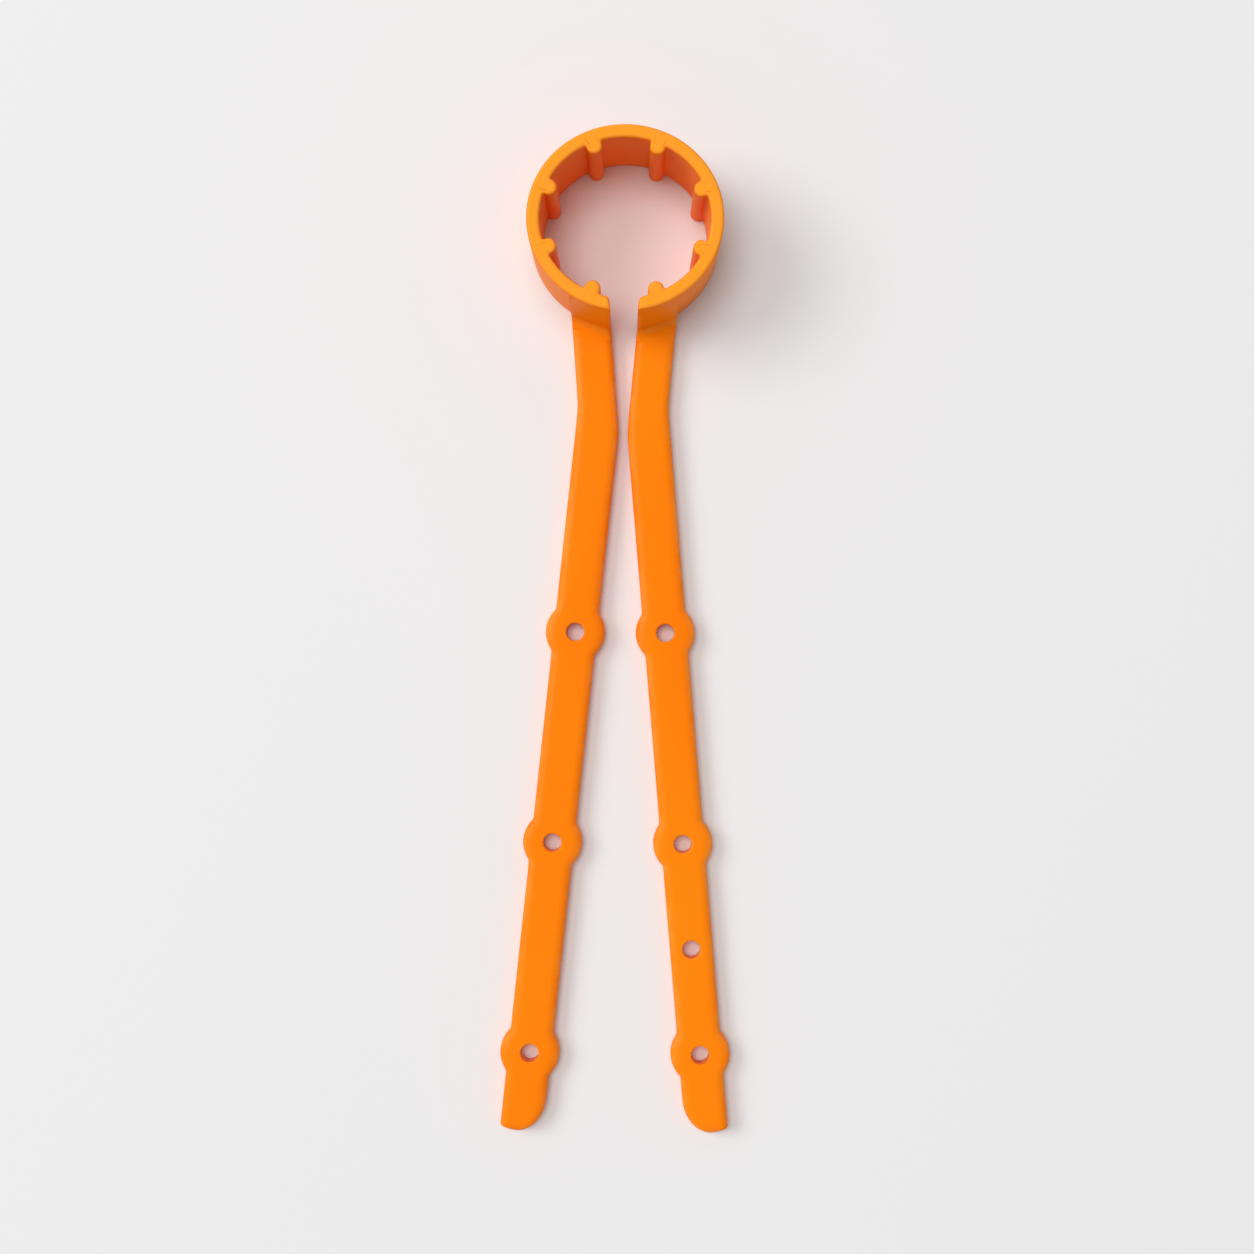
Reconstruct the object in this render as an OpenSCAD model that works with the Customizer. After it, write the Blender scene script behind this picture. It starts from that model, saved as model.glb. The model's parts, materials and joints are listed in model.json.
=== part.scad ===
// Sprung garden grabber: one orange moulding with an open gripping ring and two long arms.
// Millimetres. X across the tool, Y along it towards the ring, Z up from the flat underside.
// The origin is at the middle of the tool's footprint.

/* [Ring] */
// Outside width of the ring, across the tool
ring_w = 44.6; // [42:0.2:48]
// Outside length of the ring, along the tool
ring_l = 42; // [40:0.2:46]
// Height of the ring
ring_h = 28; // [20:0.5:40]
// Thickness of the ring's wall
ring_wall = 3; // [2.4:0.1:3.6]
// Width of each grip lug inside the ring
lug_w = 3.6; // [2.4:0.1:4.4]
// How far each grip lug stands in from the wall
lug_reach = 2.4; // [1.8:0.1:3.2]

/* [Arms] */
// Thickness of both arms
arm_t = 5; // [4:0.1:6]
// Gap between the two arms where they leave the ring
root_gap = 6.2; // [5.4:0.1:7]
// Gap between the two arms at the kink, where they nearly touch
kink_gap = 2; // [1.8:0.1:3]
// Distance from the ring's centre to the kink
kink_drop = 46; // [44:0.5:52]
// Width of the short shank between the ring and the kink
shank_w = 9.1; // [8.6:0.1:9.6]
// Width of the handle below the kink
handle_w = 10.2; // [9.8:0.1:10.8]
// Length of each handle from the kink to its tip
handle_l = 166.7; // [164:0.5:180]
// Angle by which each handle leans away from the middle
handle_splay = 5.46; // [5:0.1:8]
// How far the root web stands out from the ring's wall, just above the arm
web_reach = 0.8; // [0.4:0.1:1.5]
// Radius of the hollow between the root web and the arm
web_fillet = 2.6; // [1.5:0.1:4]

/* [Eyelets] */
// Distance along the handle from the kink to the first eyelet
first_eyelet = 48; // [40:0.5:52]
// Spacing of the eyelets along the handle
eyelet_pitch = 50; // [46:0.5:52]
// Diameter of each eyelet's round boss
boss_d = 14; // [12.5:0.1:15]
// Diameter of each eyelet hole
hole_d = 4.2; // [3:0.1:5]

/* [Tip] */
// Length over which the tip's inner corner is rounded
tip_round_l = 8.2; // [6:0.1:10]
// Width over which the tip's inner corner is rounded
tip_round_w = 6.4; // [5:0.1:7]

/* [Hidden] */
$fn = 64;

// Turns round the ring are measured from the crown, at +Y, towards the arm: 180 is the mouth.
flex_turns = [45, 90, 135];
lug_turn = 22.5;
arc_step = 2.5;
// Running clearance round a knuckle, and the free space beside it.
knuckle_clearance = 0.05;
knuckle_relief = 0.3;
// The kink's knuckle sits this far towards the ring from the kink's inner corner.
kink_knuckle_rise = 2.4;
kink_knuckle_r = 4.6;
// The end of the tip falls back a little from its lowest point to its outer corner.
tip_fall = 0.5;
tip_corner_r = 1;
// The root web leans back into the wall and ends just under the ring's top edge.
web_top = ring_h - 1.2;
web_sink = 0.3;
web_steps = 6;
// A length that reaches past every face it has to cut through.
past = 60;

half_w = ring_w / 2;
half_l = ring_l / 2;
flex_relief = knuckle_relief * 180 / PI / half_w;
root_turn = 180 - asin((root_gap + shank_w) / 2 / half_w);
shank_lean = atan((root_gap - kink_gap) / 2 / (kink_drop - half_l));
tip_low = min([for (p = tip_outline()) p.x * sin(handle_splay) + p.y * cos(handle_splay)]);
overall_l = half_l + kink_drop - tip_low;
ring_y = overall_l / 2 - half_l;
kink_y = ring_y - kink_drop;
kink_knuckle = [kink_gap / 2 + handle_w / 2 - 0.05, kink_y + kink_knuckle_rise];
eyelets = [for (i = [0:2]) first_eyelet + i * eyelet_pitch];
extra_hole = first_eyelet + 1.5 * eyelet_pitch;

// A point on an oval that is inset from the ring's outside, at a turn from the crown.
function on_ring(inset, turn) =
    [(half_w - inset) * sin(turn), ring_y + (half_l - inset) * cos(turn)];

// The direction straight out from the ring at a turn, as an angle from +X.
function outward(turn) = atan2(half_w * cos(turn), half_l * sin(turn));

// Outline of the handle's tip, in the handle's own frame: x across, -y along it.
function tip_outline() = concat(
    [for (a = [180:10:270]) [tip_round_w + tip_round_w * cos(a),
        -handle_l + tip_round_l + tip_round_l * sin(a)]],
    [for (a = [-80:20:0]) [handle_w - tip_corner_r + tip_corner_r * cos(a),
        -handle_l + tip_fall + tip_corner_r + tip_corner_r * sin(a)]]);

// Turns that divide a stretch of the wall evenly. Reversed, they run from its far end back.
function wall_turns(from, to) =
    let (steps = ceil(abs(to - from) / arc_step))
    [for (i = [0:steps]) from + (to - from) * i / steps];

// A stretch of the ring's wall between two turns, seen from above.
module wall_outline(from, to) {
    polygon(concat([for (turn = wall_turns(from, to)) on_ring(0, turn)],
        [for (turn = wall_turns(to, from)) on_ring(ring_wall, turn)]));
}

// The space taken by the ring behind the arm's root. Its edge runs through the jaw's own points.
module ring_space() {
    polygon(concat([[0, ring_y], on_ring(0, flex_turns[1])],
        [for (turn = wall_turns(flex_turns[2] + flex_relief, 180)) on_ring(0, turn)]));
}

module lug(turn) {
    root = 0.6;
    place = on_ring(ring_wall, turn);
    translate([place.x, place.y, 0])
        rotate([0, 0, outward(turn)]) {
            translate([lug_w / 2 - lug_reach, 0, 0])
                cylinder(h = ring_h, d = lug_w);
            translate([lug_w / 2 - lug_reach, -lug_w / 2, 0])
                cube([lug_reach - lug_w / 2 + root, lug_w, ring_h]);
        }
}

module knuckle(turn, clearance, height) {
    place = on_ring(ring_wall / 2, turn);
    translate([place.x, place.y, height / 2])
        cylinder(h = height + clearance * 4, r = ring_wall / 2 + clearance, center = true);
}

// A stretch of ring with its lug, a socket at its upper end and a knuckle at its lower end.
module ring_stretch(i) {
    to = i < 2 ? flex_turns[i + 1] : 180;
    difference() {
        union() {
            linear_extrude(ring_h)
                wall_outline(flex_turns[i] + flex_relief, to);
            lug(lug_turn + flex_turns[i]);
            if (i < 2) knuckle(to, 0, ring_h);
        }
        knuckle(flex_turns[i], knuckle_clearance, ring_h);
    }
}

// The free space between the two arms, seen from above, on the right of the middle.
module mouth_space() {
    drop = kink_drop;
    polygon([[-past, ring_y], [kink_gap / 2 + drop * tan(shank_lean), ring_y],
        [kink_gap / 2, kink_y], [-past, kink_y]]);
}

// Puts a shape drawn in the handle's own frame where the right handle is.
module on_handle() {
    translate([kink_gap / 2, kink_y])
        rotate([0, 0, handle_splay])
            children();
}

module handle_strip(from, to) {
    on_handle()
        translate([0, -to])
            square([handle_w, to - from]);
}

// The arm from above, between the ring and a little past the kink.
module arm_top_outline() {
    difference() {
        union() {
            translate([kink_gap / 2, kink_y])
                rotate([0, 0, -shank_lean])
                    translate([0, -handle_w])
                        square([shank_w, kink_drop]);
            handle_strip(-kink_knuckle_rise * 2.8, handle_w * 1.4);
        }
        mouth_space();
        on_handle()
            translate([-past, -past])
                square([past, past]);
    }
}

module above_kink(relief) {
    translate([-past, kink_knuckle.y + relief])
        square([past * 2, past]);
}

module kink_disc(clearance) {
    translate([kink_knuckle.x, kink_knuckle.y, arm_t / 2])
        cylinder(h = arm_t + clearance * 4, r = kink_knuckle_r + clearance, center = true);
}

// The eyelets are numbered from the kink: 0 upper, 1 middle, 2 lower.
module at_eyelet(along) {
    on_handle()
        translate([handle_w / 2, -along, 0])
            children();
}

module eyelet_hole(along) {
    at_eyelet(along)
        translate([0, 0, arm_t / 2])
            cylinder(h = arm_t * 2, d = hole_d, center = true);
}

module boss(along) {
    at_eyelet(along)
        cylinder(h = arm_t, d = boss_d);
}

module eyelet(i) {
    color("darkorange")
        difference() {
            boss(eyelets[i]);
            eyelet_hole(eyelets[i]);
        }
}

module ring_crown() {
    color("darkorange")
        union() {
            linear_extrude(ring_h)
                wall_outline(-flex_turns[0], flex_turns[0]);
            for (side = [-1, 1]) {
                lug(side * lug_turn);
                knuckle(side * flex_turns[0], 0, ring_h);
            }
        }
}

module ring_shoulder() {
    color("darkorange")
        ring_stretch(0);
}

module ring_cheek() {
    color("darkorange")
        ring_stretch(1);
}

module ring_jaw() {
    color("darkorange")
        difference() {
            ring_stretch(2);
            linear_extrude(ring_h * 3, center = true)
                mouth_space();
        }
}

// A web that carries the arm up the outside of the ring, with a hollow at its foot.
module root_gusset() {
    hollow = [for (i = [0:web_steps])
        [web_reach + web_fillet * (1 - sin(90 * i / web_steps)),
            arm_t + web_fillet * (1 - cos(90 * i / web_steps))]];
    back = [[-web_sink, web_top], [-ring_wall, web_top], [-ring_wall, arm_t]];
    place = on_ring(0, root_turn);
    color("darkorange")
        difference() {
            intersection() {
                translate([place.x, place.y, 0])
                    rotate([90, 0, outward(root_turn)])
                        linear_extrude(ring_w, center = true)
                            polygon(concat(hollow, back));
                linear_extrude(ring_h)
                    arm_top_outline();
            }
            linear_extrude(ring_h * 3, center = true)
                ring_space();
        }
}

module shank() {
    color("darkorange")
        union() {
            linear_extrude(arm_t)
                difference() {
                    intersection() {
                        arm_top_outline();
                        above_kink(0);
                    }
                    ring_space();
                }
            kink_disc(0);
        }
}

module upper_bar() {
    color("darkorange")
        difference() {
            linear_extrude(arm_t) {
                difference() {
                    arm_top_outline();
                    above_kink(-knuckle_relief);
                }
                handle_strip(handle_w, eyelets[0]);
            }
            kink_disc(knuckle_clearance);
            boss(eyelets[0]);
        }
}

module middle_bar() {
    color("darkorange")
        difference() {
            linear_extrude(arm_t)
                handle_strip(eyelets[0], eyelets[1]);
            boss(eyelets[0]);
            boss(eyelets[1]);
        }
}

module lower_bar() {
    color("darkorange")
        difference() {
            linear_extrude(arm_t)
                handle_strip(eyelets[1], eyelets[2]);
            boss(eyelets[1]);
            boss(eyelets[2]);
        }
}

// Only the right arm has a plain hole halfway between its last two eyelets.
module drilled_lower_bar() {
    color("darkorange")
        difference() {
            lower_bar();
            eyelet_hole(extra_hole);
        }
}

module tip() {
    color("darkorange")
        difference() {
            linear_extrude(arm_t)
                on_handle()
                    polygon(concat([[handle_w, -eyelets[2]], [0, -eyelets[2]]], tip_outline()));
            boss(eyelets[2]);
        }
}

module left() {
    mirror([1, 0, 0])
        children();
}

ring_crown();
left() ring_shoulder();  // left_ring_shoulder
left() ring_cheek();  // left_ring_cheek
left() ring_jaw();  // left_ring_jaw
left() root_gusset();  // left_root_gusset
left() shank();  // left_shank
left() upper_bar();  // left_upper_bar
left() eyelet(0);  // left_upper_eyelet
left() middle_bar();  // left_middle_bar
left() eyelet(1);  // left_middle_eyelet
left() lower_bar();  // left_lower_bar
left() eyelet(2);  // left_lower_eyelet
left() tip();  // left_tip
ring_shoulder();  // right_ring_shoulder
ring_cheek();  // right_ring_cheek
ring_jaw();  // right_ring_jaw
root_gusset();  // right_root_gusset
shank();  // right_shank
upper_bar();  // right_upper_bar
eyelet(0);  // right_upper_eyelet
middle_bar();  // right_middle_bar
eyelet(1);  // right_middle_eyelet
drilled_lower_bar();  // right_lower_bar
eyelet(2);  // right_lower_eyelet
tip();  // right_tip
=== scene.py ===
import bpy
import bmesh
import json
import math
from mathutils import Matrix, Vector


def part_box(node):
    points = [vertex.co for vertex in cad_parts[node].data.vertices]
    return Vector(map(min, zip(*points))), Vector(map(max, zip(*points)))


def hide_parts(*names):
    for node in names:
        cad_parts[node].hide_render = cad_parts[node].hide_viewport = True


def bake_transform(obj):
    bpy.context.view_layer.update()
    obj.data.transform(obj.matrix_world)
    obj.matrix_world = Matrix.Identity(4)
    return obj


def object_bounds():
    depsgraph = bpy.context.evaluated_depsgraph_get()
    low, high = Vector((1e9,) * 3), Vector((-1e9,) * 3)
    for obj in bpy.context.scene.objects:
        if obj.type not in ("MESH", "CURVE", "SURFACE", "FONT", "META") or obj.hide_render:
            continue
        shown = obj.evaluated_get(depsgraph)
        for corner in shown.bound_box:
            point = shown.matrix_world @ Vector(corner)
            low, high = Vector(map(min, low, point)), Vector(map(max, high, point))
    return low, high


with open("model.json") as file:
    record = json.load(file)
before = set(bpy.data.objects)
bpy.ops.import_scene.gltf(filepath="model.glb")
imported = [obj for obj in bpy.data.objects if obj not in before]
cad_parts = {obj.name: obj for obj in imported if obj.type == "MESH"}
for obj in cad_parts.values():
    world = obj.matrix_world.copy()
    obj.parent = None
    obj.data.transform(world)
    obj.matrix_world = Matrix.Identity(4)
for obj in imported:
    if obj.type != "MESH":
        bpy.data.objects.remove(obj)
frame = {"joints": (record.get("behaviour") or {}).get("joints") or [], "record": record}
cadLow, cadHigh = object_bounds()

mm = 0.001
joints = {joint["name"]: joint for joint in frame["joints"]}
mounts = {mount["name"]: mount for mount in frame["record"]["mounts"]}
ringY = joints["right_cheek_flex"]["pos_m"][1]      # the cheek joints are level with the ring's centre
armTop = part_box("right_shank")[1].z
eyes = [Vector(mounts["right_" + place + "_eyelet_hole"]["pos_m"]) for place in ("upper", "middle", "lower")]
extraEye = Vector(mounts["right_extra_hole"]["pos_m"])
holeRadius = mounts["right_extra_hole"]["dims"]["r_mm"] * mm


def flat(x, y, z=0.0):
    return Vector((x, y, z))


def clearSelection():
    if bpy.context.mode != "OBJECT":
        bpy.ops.object.mode_set(mode="OBJECT")
    bpy.ops.object.select_all(action="DESELECT")


def workOn(piece, mode="OBJECT"):
    clearSelection()
    piece.select_set(True)
    bpy.context.view_layer.objects.active = piece
    bpy.ops.object.mode_set(mode=mode)


def pick(kind, wanted):
    # selects the vertices, edges or faces of the piece in edit mode that answer to wanted
    bpy.ops.mesh.select_mode(type=kind)
    bpy.ops.mesh.select_all(action="DESELECT")
    mesh = bpy.context.object.data
    shape = bmesh.from_edit_mesh(mesh)
    for part in {"VERT": shape.verts, "EDGE": shape.edges, "FACE": shape.faces}[kind]:
        if wanted(part):
            part.select_set(True)
    shape.select_flush_mode()
    bmesh.update_edit_mesh(mesh)


def pickAll(kind="FACE"):
    bpy.ops.mesh.select_mode(type=kind)
    bpy.ops.mesh.select_all(action="SELECT")


def addPlane(name, wide, high, upright=False):
    # a rectangle, lying flat or standing across X, left selected in edit mode
    clearSelection()
    tilt = math.pi / 2 if upright else 0
    bpy.ops.mesh.primitive_plane_add(size=1, rotation=(tilt, 0, 0))
    piece = bpy.context.object
    piece.name = name
    piece.scale = (wide, high, 1)
    bpy.ops.object.transform_apply(location=True, rotation=True, scale=True)
    bpy.ops.object.mode_set(mode="EDIT")
    pickAll()
    return piece


def extrude(x, y, z):
    bpy.ops.mesh.extrude_region_move(TRANSFORM_OT_translate={"value": (x, y, z)})


def middleOf(station):
    a, b, low, high = station
    return (a + b) / 2 + Vector((0, 0, (low + high) / 2))


def settle(old, new):
    # turns and stretches what is selected, from one station's span to the next one's
    spot = middleOf(new)
    before = old[1] - old[0]
    after = new[1] - new[0]
    turn = math.atan2(after.y, after.x) - math.atan2(before.y, before.x)
    turn = (turn + math.pi) % (2 * math.pi) - math.pi
    bpy.ops.transform.rotate(value=-turn, orient_axis="Z", center_override=spot)
    across = after.length / before.length
    upright = (new[3] - new[2]) / (old[3] - old[2]) if old[3] > old[2] else 1.0
    bpy.ops.transform.resize(value=(across, across, upright), center_override=spot)


def walk(start, stations):
    # extrudes what is selected through the stations: each is two side points, a low and a high
    bpy.ops.transform.translate(value=middleOf(stations[0]) - middleOf(start))
    settle(start, stations[0])
    for old, new in zip(stations, stations[1:]):
        extrude(*(middleOf(new) - middleOf(old)))
        settle(old, new)


def closeSkin():
    pickAll()
    bpy.ops.mesh.remove_doubles(threshold=0.0005 * mm)
    bpy.ops.mesh.normals_make_consistent(inside=False)


def roundOver(radius, steps, band):
    # rounds the edge all round the selected faces, then leaves a narrow band that keeps the flat flat
    for i in range(steps):
        a = math.pi / 2 * i / steps
        b = math.pi / 2 * (i + 1) / steps
        bpy.ops.mesh.inset(thickness=radius * (math.cos(a) - math.cos(b)),
                           depth=radius * (math.sin(b) - math.sin(a)))
    bpy.ops.mesh.inset(thickness=band, depth=0)


def cutAway(point, away):
    # removes what lies on the plane's away side, and closes the cut
    pickAll()
    bpy.ops.mesh.bisect(plane_co=point, plane_no=away, use_fill=True, clear_outer=True,
                        clear_inner=False, threshold=0.0005 * mm)


def copyOf(piece, name, cuts=(), flip=False):
    workOn(piece)
    bpy.ops.object.duplicate()
    twin = bpy.context.object
    twin.name = name
    if flip:
        twin.scale.x = -1
        bpy.ops.object.transform_apply(location=True, rotation=True, scale=True)
    bpy.ops.object.mode_set(mode="EDIT")
    for point, away in cuts:
        cutAway(point, away)
    closeSkin()
    bpy.ops.object.mode_set(mode="OBJECT")
    return twin


def combine(piece, tool, operation):
    workOn(piece)
    change = piece.modifiers.new(operation.lower(), "BOOLEAN")
    change.operation = operation
    change.solver = "EXACT"
    change.object = tool
    bpy.ops.object.modifier_apply(modifier=change.name)
    bpy.data.objects.remove(tool)


# the ring, made as its right half; turns are counted from the crown towards the arm

ring = {
    "halfWide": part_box("right_ring_shoulder")[1].x,
    "halfLong": cadHigh.y - ringY,
    "height": cadHigh.z,
    "wall": 3.0 * mm,
    "lift": 0.02 * mm,           # the ring stands this much higher than the arms
    "topRound": 0.8 * mm,
    "baseRound": 0.5 * mm,
    "roundSteps": 6,
    "band": 0.1 * mm,            # beside each rounding
    "firstLug": 22.5,
    "lugPitch": 45,
    "lugRadius": 1.8 * mm,
    "lugNeck": 0.6 * mm,
    "lugFillet": 0.5 * mm,
    "lugArcSteps": 15,           # odd, so that a cut through the lug's middle falls inside one facet
    "filletSteps": 6,
    "wallStep": 1.5,
    "mouthRound": 1.2 * mm,
    "mouthSteps": 6,
}


def ringPoint(turn, inset=0.0):
    a = math.radians(turn)
    return flat((ring["halfWide"] - inset) * math.sin(a), ringY + (ring["halfLong"] - inset) * math.cos(a))


def lugStations(lugTurn):
    # the wall's outside moves on evenly while its inside follows the lug's outline
    radius, neck, fillet = ring["lugRadius"], ring["lugNeck"], ring["lugFillet"]
    outline = []
    for i in range(ring["filletSteps"] + 1):
        a = math.pi / 2 * i / ring["filletSteps"]
        outline.append((-radius - fillet + fillet * math.sin(a), fillet * (1 - math.cos(a))))
    for i in range(ring["lugArcSteps"] + 1):
        a = math.pi * i / ring["lugArcSteps"]
        outline.append((-radius * math.cos(a), neck + radius * math.sin(a)))
    outline += [(-s, h) for s, h in outline[ring["filletSteps"]::-1]]
    middle = ringPoint(lugTurn, ring["wall"])
    onward = (ringPoint(lugTurn + 1) - ringPoint(lugTurn - 1)).normalized()
    inwards = Vector((onward.y, -onward.x, 0))
    pace = (ringPoint(lugTurn + 1, ring["wall"]) - ringPoint(lugTurn - 1, ring["wall"])).length / 2

    def wallRise(s):
        return (ringPoint(lugTurn + s / pace, ring["wall"]) - middle).dot(inwards)

    reach = (radius + fillet) / pace
    pairs = []
    for i, (s, h) in enumerate(outline):
        rise = wallRise(s)
        if abs(s) < radius:
            rise = wallRise(-radius) + (wallRise(radius) - wallRise(-radius)) * (s / radius + 1) / 2
        turn = lugTurn - reach + 2 * reach * i / (len(outline) - 1)
        pairs.append((middle + onward * s + inwards * (h + rise), ringPoint(turn)))
    return pairs, lugTurn - reach, lugTurn + reach


def mouthPairs(turn):
    # from the last lug to the mouth
    # the inner corner is a curve, and the outer one stays square inside the arm
    outerTurn = 180 - math.degrees(math.asin(mouthX(ringY - ring["halfLong"]) / ring["halfWide"]))
    cornerX = mouthX(ringY - ring["halfLong"] + ring["wall"])
    cornerTurn = 180 - math.degrees(math.asin(cornerX / (ring["halfWide"] - ring["wall"])))
    corner = ringPoint(cornerTurn, ring["wall"])
    before = corner + flat(1, 0.15).normalized() * ring["mouthRound"]
    after = flat(mouthX(corner.y - ring["mouthRound"]), corner.y - ring["mouthRound"])
    wallInner = ringPoint(turn, ring["wall"])
    inner = [wallInner.lerp(before, 0.4), wallInner.lerp(before, 0.7)]
    for i in range(ring["mouthSteps"] + 1):
        s = i / ring["mouthSteps"]
        inner.append(before * (1 - s) ** 2 + corner * 2 * s * (1 - s) + after * s ** 2)
    lastStep = 0.5                # of the outer stretch, wide enough for the rounding of its square corner
    pairs = []
    for i, point in enumerate(inner[:-1]):
        share = (1 - lastStep) * (i + 1) / (len(inner) - 1)
        pairs.append((point, ringPoint(turn + (outerTurn - turn) * share)))
    return pairs + [(inner[-1], ringPoint(outerTurn))]


def ringStations():
    # the first step is a wide one past the crown's middle, which the cut there takes away
    pairs = [(ringPoint(-8, ring["wall"]), ringPoint(-8))]
    turn = -ring["wallStep"] / 2
    for k in range(4):
        lug, lugStart, lugEnd = lugStations(ring["firstLug"] + k * ring["lugPitch"])
        steps = math.ceil((lugStart - turn) / ring["wallStep"])
        for i in range(min(k, 1), steps):
            t = turn + (lugStart - turn) * i / steps
            pairs.append((ringPoint(t, ring["wall"]), ringPoint(t)))
        pairs += lug
        turn = lugEnd
    pairs += mouthPairs(turn)
    start = ring["lift"] + ring["baseRound"]
    return [(inner, outer, start, start) for inner, outer in pairs]


def makeRingHalf():
    piece = addPlane("ringHalf", 1, 1)
    pick("VERT", lambda v: v.co.y > 0)
    bpy.ops.mesh.delete(type="VERT")
    pickAll("EDGE")
    walk((flat(-0.5, -0.5), flat(0.5, -0.5), 0, 0), ringStations())
    pickAll()
    straight = ring["height"] - ring["lift"] - ring["topRound"] - ring["baseRound"]
    for rise in (ring["band"], straight - 2 * ring["band"], ring["band"]):
        extrude(0, 0, rise)
    closeSkin()
    pick("FACE", lambda f: f.normal.z > 0.9)
    roundOver(ring["topRound"], ring["roundSteps"], ring["band"])
    pick("FACE", lambda f: f.normal.z < -0.9 and f.calc_center_median().z < ring["height"] / 2)
    roundOver(ring["baseRound"], ring["roundSteps"], ring["band"])
    closeSkin()
    bpy.ops.object.mode_set(mode="OBJECT")
    return piece


# the right arm, from inside the ring's wall to its tip

arm = {
    "kinkDrop": 46.0 * mm,       # from the ring's centre
    "kinkGap": 2.0 * mm,
    "rootGap": 6.2 * mm,
    "shankWide": 9.13 * mm,
    "handleWide": 10.2 * mm,
    "bossRadius": 6.985 * mm,
    "bossSoft": 0.16 * mm,       # how softly a boss runs into the arm's side
    "kinkSoft": 0.12 * mm,
    "topRound": 1.6 * mm,
    "baseRound": 0.7 * mm,
    "roundStretch": 1.35,        # the roundings are wider than they are high
    "topSteps": 8,
    "baseSteps": 4,
    "crown": 0.1 * mm,           # the top's middle stands this much over its sides
    "crownCuts": 7,
    "rootStart": 19.3 * mm,
    "rootSlant": 3.4 * mm,
    "rootEnd": 27.0 * mm,
    "tipRoundLong": 8.2 * mm,
    "tipRoundWide": 6.4 * mm,
    "tipFall": 0.5 * mm,
    "tipCorner": 1.0 * mm,
    "tipSteps": 26,
}

kinkY = ringY - arm["kinkDrop"]
shankSlope = (arm["rootGap"] - arm["kinkGap"]) / 2 / (arm["kinkDrop"] - ring["halfLong"])
alongHandle = (eyes[2] - eyes[0]).normalized()
acrossHandle = Vector((-alongHandle.y, alongHandle.x, 0))
handleSlope = alongHandle.x / -alongHandle.y
handleStart = flat(arm["kinkGap"] / 2, kinkY)
# the arm ends where the curve of its rounded corner reaches the lowest point of the tool
tipReach = math.hypot(arm["tipRoundWide"] * acrossHandle.y, arm["tipRoundLong"] * alongHandle.y)
tipDrop = kinkY - cadLow.y + arm["tipRoundWide"] * acrossHandle.y - tipReach
handleLong = arm["tipRoundLong"] + tipDrop / -alongHandle.y


def mouthX(y):
    # the straight side that the mouth and the shank share
    return arm["kinkGap"] / 2 + shankSlope * (y - kinkY)


def softMax(a, b, soft):
    return (a + b) / 2 + math.sqrt(((a - b) / 2) ** 2 + soft ** 2)


def bossReach(y, eye):
    return math.sqrt(max(0.0, arm["bossRadius"] ** 2 - (y - eye.y) ** 2))


def innerX(y):
    edge = softMax(mouthX(y), handleStart.x + handleSlope * (kinkY - y), arm["kinkSoft"])
    for eye in eyes:
        if bossReach(y, eye):
            edge = -softMax(-edge, bossReach(y, eye) - eye.x, arm["bossSoft"])
    return edge


def outerX(y):
    shank = mouthX(y) + arm["shankWide"] * math.hypot(1, shankSlope)
    handle = handleStart.x + handleSlope * (kinkY - y) + arm["handleWide"] * math.hypot(1, handleSlope)
    edge = softMax(shank, handle, arm["kinkSoft"])
    for eye in eyes:
        if bossReach(y, eye):
            edge = softMax(edge, bossReach(y, eye) + eye.x, arm["bossSoft"])
    return edge


def slantAt(y):
    # how much higher than its inner side a section's outer side lies, to stay square to the arm
    rootEnd = ringY - arm["rootEnd"]
    if y > rootEnd:
        return arm["rootSlant"] * (y - rootEnd) / (arm["rootEnd"] - arm["rootStart"])
    share = min(1.0, max(0.0, (kinkY + 6 * mm - y) / (16 * mm)))
    return arm["handleWide"] * alongHandle.x * share * share * (3 - 2 * share)


def rowStep(y):
    # short steps where a boss's outline turns sharply, long ones along the straight bars
    if abs(y - kinkY) < 9 * mm:
        return 1.0 * mm
    near = min(abs(y + slantAt(y) / 2 - eye.y) for eye in eyes)
    if near < arm["bossRadius"] + 1.5 * mm:
        return 0.3 * mm if near > 3.5 * mm else 0.7 * mm
    return 2.4 * mm


def tipStations(tipLong):
    stations = []
    edge = arm["topRound"] * 1.3
    corner = arm["tipFall"] + arm["tipCorner"]
    for i in range(1, arm["tipSteps"] + 1):
        left = tipLong * (1 - math.sin(math.pi / 2 * i / arm["tipSteps"]))     # to the arm's end
        inner = 0.0
        if left < arm["tipRoundLong"]:
            inner = arm["tipRoundWide"] * (1 - math.sqrt(1 - (1 - left / arm["tipRoundLong"]) ** 2))
        outer = arm["handleWide"]
        if left < corner:
            share = 1 - left / corner
            outer -= (outer - arm["tipRoundWide"]) * 0.9 * share ** 4 + arm["tipCorner"] * 0.25 * share ** 2
        drop = 0.0
        if left < edge:
            drop = 1 - math.sqrt(1 - (1 - left / edge) ** 2)
        place = handleStart + alongHandle * (handleLong - left)
        stations.append((place + acrossHandle * inner, place + acrossHandle * outer,
                         arm["baseRound"] * drop, armTop - arm["topRound"] * drop))
    return stations


def armStations():
    tipLong = arm["tipRoundLong"] * 1.15
    tipY = (handleStart + alongHandle * (handleLong - tipLong)).y
    rows = [ringY - arm["rootStart"]]
    while rows[-1] > tipY:
        rows.append(rows[-1] - rowStep(rows[-1]))
    rows[-1] = tipY
    stations = []
    for y in rows:
        outerY = y + slantAt(y)
        stations.append((flat(innerX(y), y), flat(outerX(outerY), outerY), 0, armTop))
    return stations + tipStations(tipLong)


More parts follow.
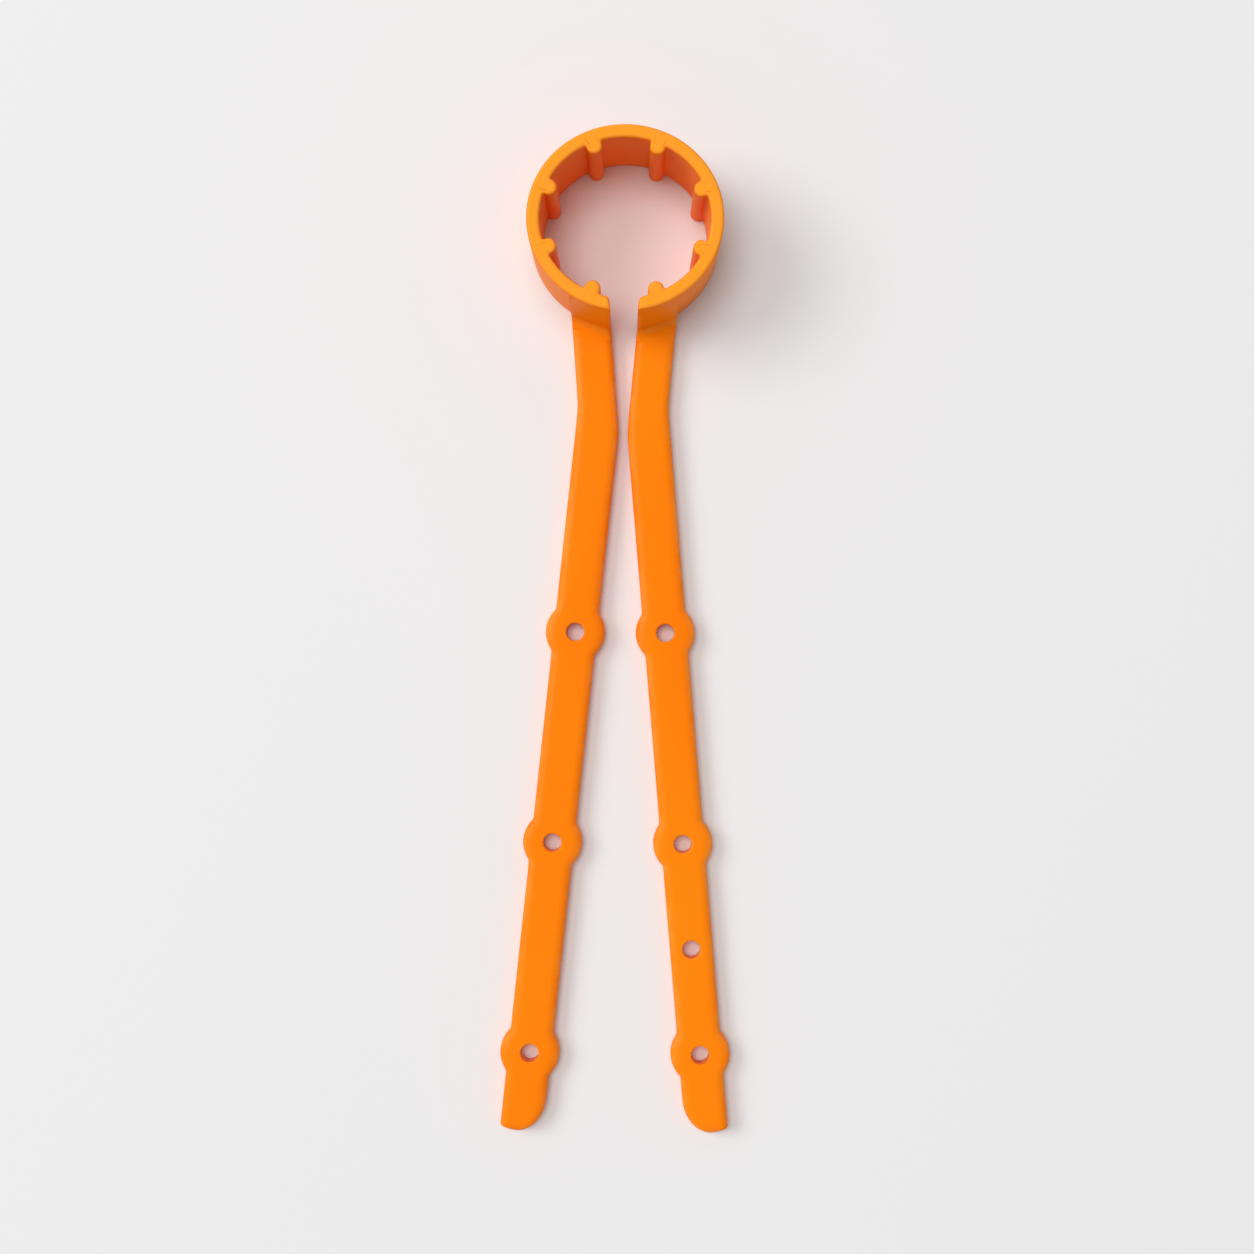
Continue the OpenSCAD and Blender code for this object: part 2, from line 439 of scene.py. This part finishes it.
def makeArm():
    stations = armStations()
    wide = (stations[0][1] - stations[0][0]).length / arm["roundStretch"]
    piece = addPlane("armBlank", wide, armTop, upright=True)
    pick("VERT", lambda v: v.co.z > 0)
    bpy.ops.mesh.bevel(offset=arm["topRound"], segments=arm["topSteps"], affect="VERTICES")
    pick("VERT", lambda v: v.co.z < -0.49 * armTop)
    bpy.ops.mesh.bevel(offset=arm["baseRound"], segments=arm["baseSteps"], affect="VERTICES")
    pickAll()
    bpy.ops.transform.resize(value=(arm["roundStretch"], 1, 1), center_override=(0, 0, 0))
    pick("EDGE", lambda e: min(v.co.z for v in e.verts) > 0.499 * armTop)
    bpy.ops.mesh.subdivide(number_cuts=arm["crownCuts"])
    half = wide * arm["roundStretch"] / 2
    shape = bmesh.from_edit_mesh(piece.data)
    for v in shape.verts:
        v.co.z -= arm["crown"] * (v.co.x / half) ** 2 * max(0.0, v.co.z / armTop * 2)
    bmesh.update_edit_mesh(piece.data)
    pickAll()
    walk((flat(-half, 0), flat(half, 0), -armTop / 2, armTop / 2), stations)
    closeSkin()
    bpy.ops.object.mode_set(mode="OBJECT")
    return piece


# the web that carries the arm up the ring's outside, with a hollow at its foot

web = {
    "reach": 0.8 * mm,
    "hollow": 2.6 * mm,
    "hollowSteps": 8,
    "face": [(0.45, 13), (0.1, 19), (-0.35, 26.2), (-0.6, 26.7), (-1.2, 27.1), (-2.3, 27.1)],   # out, up
    "foot": 1.5 * mm,
    "sideRound": 1.2 * mm,
    "sideSteps": 5,
    "sideGap": 0.03 * mm,
}


def makeWeb():
    rootX = arm["rootGap"] / 2 + arm["shankWide"] / 2
    rootTurn = 180 - math.degrees(math.asin(rootX / ring["halfWide"]))
    along = (ringPoint(rootTurn - 1) - ringPoint(rootTurn + 1)).normalized()
    out = Vector((along.y, -along.x, 0))
    profile = []
    for i in range(web["hollowSteps"] + 1):
        a = math.pi / 2 * i / web["hollowSteps"]
        profile.append((web["reach"] + web["hollow"] * (1 - math.sin(a)),
                        armTop - 0.02 * mm + web["hollow"] * (1 - math.cos(a))))
    profile += [(reach * mm, height * mm) for reach, height in web["face"]]
    half = along * 12 * mm
    stations = []
    for reach, height in profile:
        spot = ringPoint(rootTurn) + out * reach
        stations.append((spot - half, spot + half, web["foot"], height))
    piece = addPlane("web", 1, 1, upright=True)
    walk((flat(-0.5, 0), flat(0.5, 0), -0.5, 0.5), stations)
    closeSkin()
    side = Vector((1, -shankSlope, 0)).normalized()
    innerSide = flat(mouthX(kinkY), kinkY)
    cutAway(innerSide + side * web["sideGap"], -side)
    cutAway(innerSide + side * (arm["shankWide"] - web["sideGap"]), side)
    closeSkin()

    def isRim(edge):
        if min(v.co.z for v in edge.verts) < armTop - 0.1 * mm:
            return False
        sides = sum(1 for f in edge.link_faces if abs(f.normal.dot(side)) > 0.99)
        fronts = sum(1 for f in edge.link_faces if f.normal.dot(out) > 0.02)
        return sides == 1 and fronts == 1

    pick("EDGE", isRim)
    bpy.ops.mesh.bevel(offset=web["sideRound"], segments=web["sideSteps"], affect="EDGES")
    closeSkin()
    bpy.ops.object.mode_set(mode="OBJECT")
    return piece


# the eyelets' holes, each with a rounded rim

hole = {
    "rim": 0.4 * mm,
    "rimSteps": 5,
    "sides": 64,
    "sink": 0.01 * mm,           # the rims open just under the arm's faces
    "past": 1.0 * mm,
}


def drill(piece, eye):
    clearSelection()
    bpy.ops.mesh.primitive_circle_add(vertices=hole["sides"], radius=holeRadius, fill_type="NGON",
                                      location=(eye.x, eye.y, armTop / 2))
    cutter = bpy.context.object
    bpy.ops.object.transform_apply(location=True, rotation=True, scale=True)
    bpy.ops.object.mode_set(mode="EDIT")
    for end in (1, -1):
        pick("FACE", lambda f: abs(f.calc_center_median().z - armTop / 2) < 0.01 * mm)
        extrude(0, 0, end * (armTop / 2 - hole["rim"] - hole["sink"]))
        size = holeRadius
        for i in range(hole["rimSteps"]):
            a = math.pi / 2 * i / hole["rimSteps"]
            b = math.pi / 2 * (i + 1) / hole["rimSteps"]
            wider = holeRadius + hole["rim"] * (1 - math.cos(b))
            extrude(0, 0, end * hole["rim"] * (math.sin(b) - math.sin(a)))
            bpy.ops.transform.resize(value=(wider / size, wider / size, 1), center_override=(eye.x, eye.y, 0))
            size = wider
        extrude(0, 0, end * hole["past"])
    closeSkin()
    bpy.ops.object.mode_set(mode="OBJECT")
    combine(piece, cutter, "DIFFERENCE")


# cutting the moulding where its bodies meet, and joining what is one piece

splits = {
    "crownEnd": 67.5,
    "sideEnd": 112.5,
    "shank": 24.0 * mm,          # below the ring's centre
    "smoothAngle": 38,
}


def spoke(turn):
    # points onward round the ring, square to the line from its centre
    return (ringPoint(turn) - flat(0, ringY)).normalized().cross(Vector((0, 0, 1)))


ringHalf = makeRingHalf()
print("ring half modelled")
armBlank = makeArm()
print("arm modelled")
ringMiddle = flat(0, ringY)
shankCut = flat(0, ringY - splits["shank"])
crownCut, sideCut = spoke(splits["crownEnd"]), spoke(splits["sideEnd"])

crownRight = copyOf(ringHalf, "crownRight", [(ringMiddle, flat(-1, 0)), (ringMiddle, crownCut)])
sideRight = copyOf(ringHalf, "sideRight", [(ringMiddle, -crownCut), (ringMiddle, sideCut)])
jawRight = copyOf(ringHalf, "jawRight", [(ringMiddle, -sideCut)])
combine(jawRight, copyOf(armBlank, "shankRight", [(shankCut, flat(0, -1))]), "UNION")
combine(jawRight, makeWeb(), "UNION")
armRight = copyOf(armBlank, "armRight", [(shankCut, flat(0, 1))])
for eye in eyes:
    drill(armRight, eye)
crownLeft = copyOf(crownRight, "crownLeft", flip=True)
sideLeft = copyOf(sideRight, "sideLeft", flip=True)
jawLeft = copyOf(jawRight, "jawLeft", flip=True)
armLeft = copyOf(armRight, "armLeft", flip=True)
drill(armRight, extraEye)
bpy.data.objects.remove(ringHalf)
bpy.data.objects.remove(armBlank)
skins = [crownLeft, crownRight, sideLeft, sideRight, jawLeft, jawRight, armLeft, armRight]
for piece in skins:
    workOn(piece, "EDIT")
    closeSkin()
    bpy.ops.object.mode_set(mode="OBJECT")
    bpy.ops.object.shade_smooth_by_angle(angle=math.radians(splits["smoothAngle"]))
print("pieces cut and joined")


# the finish: satin orange polypropylene, matt on the ring's end face, which also carries a painted sheen: a
# paler colour where its faces look up, standing in for the light they catch

def newGroup(name, sockets):
    group = bpy.data.node_groups.new(name, "ShaderNodeTree")
    for label, way, kind, value in sockets:
        socket = group.interface.new_socket(name=label, in_out=way, socket_type=kind)
        if value is not None:
            socket.default_value = value
    return group, group.nodes.new("NodeGroupInput"), group.nodes.new("NodeGroupOutput")


def addNode(tree, kind, settings=None, **values):
    node = tree.nodes.new(kind)
    for key, value in (settings or {}).items():
        setattr(node, key, value)
    for key, value in values.items():
        node.inputs[key.replace("_", " ")].default_value = value
    return node


def addMath(tree, operation, a, b=None, clamp=False):
    node = tree.nodes.new("ShaderNodeMath")
    node.operation = operation
    node.use_clamp = clamp
    for i, value in enumerate((a, b)):
        if isinstance(value, (int, float)):
            node.inputs[i].default_value = value
        elif value is not None:
            tree.links.new(value, node.inputs[i])
    return node.outputs[0]


def addBand(tree, value, low, high):
    # 0 below low, 1 above high, smooth between
    node = addNode(tree, "ShaderNodeMapRange", {"interpolation_type": "SMOOTHSTEP"})
    node.inputs["From Min"].default_value = low
    node.inputs["From Max"].default_value = high
    tree.links.new(value, node.inputs["Value"])
    return node.outputs["Result"]


def makeGrain():
    # a mould's fine spark texture over a slow ripple
    group, inputs, outputs = newGroup("mouldGrain", [
        ("Grain Scale", "INPUT", "NodeSocketFloat", 3200.0),
        ("Ripple Scale", "INPUT", "NodeSocketFloat", 260.0),
        ("Ripple Share", "INPUT", "NodeSocketFloat", 0.5),
        ("Height", "OUTPUT", "NodeSocketFloat", None)])
    place = addNode(group, "ShaderNodeTexCoord")
    fine = addNode(group, "ShaderNodeTexNoise", Detail=3.0, Roughness=0.6)
    slow = addNode(group, "ShaderNodeTexNoise", Detail=1.0, Roughness=0.4)
    for noise, label in ((fine, "Grain Scale"), (slow, "Ripple Scale")):
        group.links.new(place.outputs["Object"], noise.inputs["Vector"])
        group.links.new(inputs.outputs[label], noise.inputs["Scale"])
    mix = addNode(group, "ShaderNodeMix")
    group.links.new(inputs.outputs["Ripple Share"], mix.inputs["Factor"])
    group.links.new(fine.outputs["Fac"], mix.inputs["A"])
    group.links.new(slow.outputs["Fac"], mix.inputs["B"])
    group.links.new(mix.outputs["Result"], outputs.inputs["Height"])
    return group


def makeRub():
    # where hands and the sorting bin rub: the rounded edges between upright and level faces, in patches
    group, inputs, outputs = newGroup("rubbedEdges", [
        ("Patch Scale", "INPUT", "NodeSocketFloat", 90.0),
        ("Amount", "INPUT", "NodeSocketFloat", 0.5),
        ("Mask", "OUTPUT", "NodeSocketFloat", None)])
    place = addNode(group, "ShaderNodeTexCoord")
    split = addNode(group, "ShaderNodeSeparateXYZ")
    group.links.new(place.outputs["Normal"], split.inputs["Vector"])
    lean = addMath(group, "ABSOLUTE", split.outputs["Z"])
    rising = addBand(group, lean, 0.25, 0.6)
    falling = addMath(group, "SUBTRACT", 1.0, addBand(group, lean, 0.8, 0.99))
    noise = addNode(group, "ShaderNodeTexNoise", Detail=4.0, Roughness=0.65)
    group.links.new(place.outputs["Object"], noise.inputs["Vector"])
    group.links.new(inputs.outputs["Patch Scale"], noise.inputs["Scale"])
    patches = addBand(group, noise.outputs["Fac"], 0.42, 0.62)
    mask = addMath(group, "MULTIPLY", addMath(group, "MULTIPLY", rising, falling), patches)
    strength = addMath(group, "MULTIPLY", mask, inputs.outputs["Amount"], clamp=True)
    group.links.new(strength, outputs.inputs["Mask"])
    return group


def makeDrift():
    # slow colour changes where the melt flowed and cooled
    group, inputs, outputs = newGroup("meltDrift", [
        ("Scale", "INPUT", "NodeSocketFloat", 30.0),
        ("Tone", "OUTPUT", "NodeSocketFloat", None)])
    place = addNode(group, "ShaderNodeTexCoord")
    stretch = addNode(group, "ShaderNodeMapping", Scale=(1.0, 0.35, 1.0))
    noise = addNode(group, "ShaderNodeTexNoise", Detail=2.0, Distortion=0.4)
    group.links.new(place.outputs["Object"], stretch.inputs["Vector"])
    group.links.new(stretch.outputs["Vector"], noise.inputs["Vector"])
    group.links.new(inputs.outputs["Scale"], noise.inputs["Scale"])
    group.links.new(addBand(group, noise.outputs["Fac"], 0.3, 0.7), outputs.inputs["Tone"])
    return group


plastic = {
    "deep": (0.97, 0.2, 0.0018, 1),
    "light": (0.98, 0.235, 0.003, 1),
    # rim: a painted sheen, the paler colour put on the ring's up-facing end face for the light it catches
    "rim": (0.97, 0.335, 0.024, 1),
    "rubbed": (0.97, 0.36, 0.06, 1),
    "ior": 1.47,
    "ringGloss": 0.03,           # the ring is nearly matt
    "armGloss": 0.12,
    "roughness": 0.35,
    "rimRoughness": 0.48,
    "rubbedRoughness": 0.5,
    "bump": 0.012 * mm,
    "rimFrom": 26.6 * mm,        # the painted sheen on the ring's up-facing end face starts here
    "rimFade": 1.1 * mm,
    "rub": 0.35,
    "rubPatches": 110.0,
    "driftScale": 30.0,
    "driftRoughness": 0.05,
    "grainScale": 3200.0,
    "rippleScale": 260.0,
    "rippleShare": 0.4,
}
grain, rub, drift = makeGrain(), makeRub(), makeDrift()


def addMix(tree, factor, a, b, kind="FLOAT"):
    node = addNode(tree, "ShaderNodeMix", {"data_type": kind})
    # a mix node has one socket of each name for every kind of value, and only the chosen kind is enabled
    sockets = {socket.name: socket for socket in node.inputs if socket.enabled}
    for socket, value in ((sockets["A"], a), (sockets["B"], b)):
        if hasattr(value, "links"):
            tree.links.new(value, socket)
        else:
            socket.default_value = value
    tree.links.new(factor, sockets["Factor"])
    return [socket for socket in node.outputs if socket.enabled][0]


def makePlastic(name, paintedTopSheen, gloss):
    material = bpy.data.materials.new(name)
    material.use_nodes = True
    tree = material.node_tree
    shader = tree.nodes["Principled BSDF"]
    shader.inputs["IOR"].default_value = plastic["ior"]
    shader.inputs["Specular IOR Level"].default_value = gloss
    tone = addNode(tree, "ShaderNodeGroup", {"node_tree": drift}, Scale=plastic["driftScale"])
    worn = addNode(tree, "ShaderNodeGroup", {"node_tree": rub}, Patch_Scale=plastic["rubPatches"],
                   Amount=plastic["rub"])
    height = addNode(tree, "ShaderNodeGroup", {"node_tree": grain}, Grain_Scale=plastic["grainScale"],
                     Ripple_Scale=plastic["rippleScale"], Ripple_Share=plastic["rippleShare"])
    colour = addMix(tree, tone.outputs["Tone"], plastic["deep"], plastic["light"], "RGBA")
    rough = addMath(tree, "MULTIPLY", tone.outputs["Tone"], plastic["driftRoughness"])
    rough = addMath(tree, "ADD", rough, plastic["roughness"])
    # painted sheen: faces near the ring's top that look up are mixed towards the paler rim colour, for the
    # light they catch; the rougher finish there is the face's own
    if paintedTopSheen:
        place = addNode(tree, "ShaderNodeTexCoord")
        spot = addNode(tree, "ShaderNodeSeparateXYZ")
        facing = addNode(tree, "ShaderNodeSeparateXYZ")
        tree.links.new(place.outputs["Object"], spot.inputs["Vector"])
        tree.links.new(place.outputs["Normal"], facing.inputs["Vector"])
        high = addBand(tree, spot.outputs["Z"], plastic["rimFrom"], plastic["rimFrom"] + plastic["rimFade"])
        level = addBand(tree, facing.outputs["Z"], 0.35, 0.9)
        rim = addMath(tree, "MULTIPLY", high, level)
        colour = addMix(tree, rim, colour, plastic["rim"], "RGBA")
        rough = addMix(tree, rim, rough, plastic["rimRoughness"])
    colour = addMix(tree, worn.outputs["Mask"], colour, plastic["rubbed"], "RGBA")
    rough = addMix(tree, worn.outputs["Mask"], rough, plastic["rubbedRoughness"])
    bump = addNode(tree, "ShaderNodeBump", Strength=0.6, Distance=plastic["bump"])
    tree.links.new(height.outputs["Height"], bump.inputs["Height"])
    tree.links.new(colour, shader.inputs["Base Color"])
    tree.links.new(rough, shader.inputs["Roughness"])
    tree.links.new(bump.outputs["Normal"], shader.inputs["Normal"])
    return material


ringPlastic = makePlastic("ringPlastic", True, plastic["ringGloss"])
armPlastic = makePlastic("armPlastic", False, plastic["armGloss"])
for piece in skins:
    piece.data.materials.clear()
    piece.data.materials.append(armPlastic if piece in (armLeft, armRight) else ringPlastic)
print("finishes made")


# each piece's placement is baked into its mesh, and the CAD parts that the pieces stand for are hidden

flexSpans = {
    "crown": (20, 60),
    "side": (72, 108),
    "jaw": (117, 146),
    "bowFrom": 33.0 * mm,        # below the ring's centre
    "bowTo": 60.0 * mm,
}


for side, label, crown, cheek, jaw, limb in ((-1, "left", crownLeft, sideLeft, jawLeft, armLeft),
                                             (1, "right", crownRight, sideRight, jawRight, armRight)):
    bodies = [label + "_" + place for place in ("shoulder", "cheek", "jaw", "handle")]
    for piece, a, b, span in ((crown, "crown", bodies[0], flexSpans["crown"]),
                              (cheek, bodies[0], bodies[1], flexSpans["side"]),
                              (jaw, bodies[1], bodies[2], flexSpans["jaw"])):
        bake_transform(piece)
    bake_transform(limb)
    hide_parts("ring_crown", label + "_ring_shoulder")
    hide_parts(label + "_ring_shoulder", label + "_ring_cheek")
    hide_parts(label + "_ring_cheek", label + "_ring_jaw", label + "_root_gusset", label + "_shank")
    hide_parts(label + "_shank", label + "_upper_bar", label + "_upper_eyelet", label + "_middle_bar",
                label + "_middle_eyelet", label + "_lower_bar", label + "_lower_eyelet", label + "_tip")


# the setting: a pale floor, a high lamp and a lower one on the left, a soft sky, a camera straight above
# gleam says whether a lamp shows in reflections: the high one doesn't, or it would whiten the flat tops

setting = {
    "floorColour": (0.80, 0.794, 0.794, 1),
    "floorSize": 30.0,
    "floorGap": 0.05 * mm,
    "lampAway": 5.0,
    "highLamp": {"turn": 135.0, "height": 79.0, "size": 2.6, "power": 120.0, "gleam": False},
    "lowLamp": {"turn": 162.0, "height": 44.0, "size": 2.8, "power": 116.0, "gleam": True},
    "skyLow": 0.42,              # strength near the horizon
    "skyHigh": 0.15,             # strength overhead
    "skyBand": (0.62, 0.92),     # the height between which it changes
    "eye": (1.567 * mm, 3.18 * mm, 476.0 * mm),
    "eyeTurn": 0.724,
    "lens": 57.33,
}


def makeFloor():
    clearSelection()
    bpy.ops.mesh.primitive_plane_add(size=setting["floorSize"], location=(0, 0, -setting["floorGap"]))
    floor = bpy.context.object
    floor.name = "floor"
    material = bpy.data.materials.new("paleFloor")
    material.use_nodes = True
    shader = material.node_tree.nodes["Principled BSDF"]
    shader.inputs["Base Color"].default_value = setting["floorColour"]
    shader.inputs["Roughness"].default_value = 0.9
    shader.inputs["Specular IOR Level"].default_value = 0.0
    floor.data.materials.append(material)


def makeLamp(name, values):
    turn, height = math.radians(values["turn"]), math.radians(values["height"])
    towards = Vector((math.cos(turn) * math.cos(height), math.sin(turn) * math.cos(height), math.sin(height)))
    bpy.ops.object.light_add(type="AREA", location=towards * setting["lampAway"])
    lamp = bpy.context.object
    lamp.name = name
    lamp.rotation_euler = towards.to_track_quat("Z", "Y").to_euler()
    lamp.data.shape = "DISK"
    lamp.data.size = values["size"]
    lamp.data.energy = values["power"]
    lamp.visible_glossy = values["gleam"]


def makeSky():
    world = bpy.data.worlds.new("studioSky")
    bpy.context.scene.world = world
    world.use_nodes = True
    tree = world.node_tree
    place = addNode(tree, "ShaderNodeTexCoord")
    split = addNode(tree, "ShaderNodeSeparateXYZ")
    tree.links.new(place.outputs["Generated"], split.inputs["Vector"])
    rise = addBand(tree, split.outputs["Z"], *setting["skyBand"])
    strength = addMix(tree, rise, setting["skyLow"], setting["skyHigh"])
    tree.links.new(strength, tree.nodes["Background"].inputs["Strength"])
    tree.nodes["Background"].inputs["Color"].default_value = (1, 1, 1, 1)


def makeCamera():
    bpy.ops.object.camera_add(location=setting["eye"], rotation=(0, 0, math.radians(setting["eyeTurn"])))
    camera = bpy.context.object
    camera.data.lens = setting["lens"]
    camera.data.clip_start = 0.01
    bpy.context.scene.camera = camera
    bpy.context.scene.view_settings.view_transform = "Standard"


makeFloor()
makeLamp("highLamp", setting["highLamp"])
makeLamp("lowLamp", setting["lowLamp"])
makeSky()
makeCamera()
print("setting made")
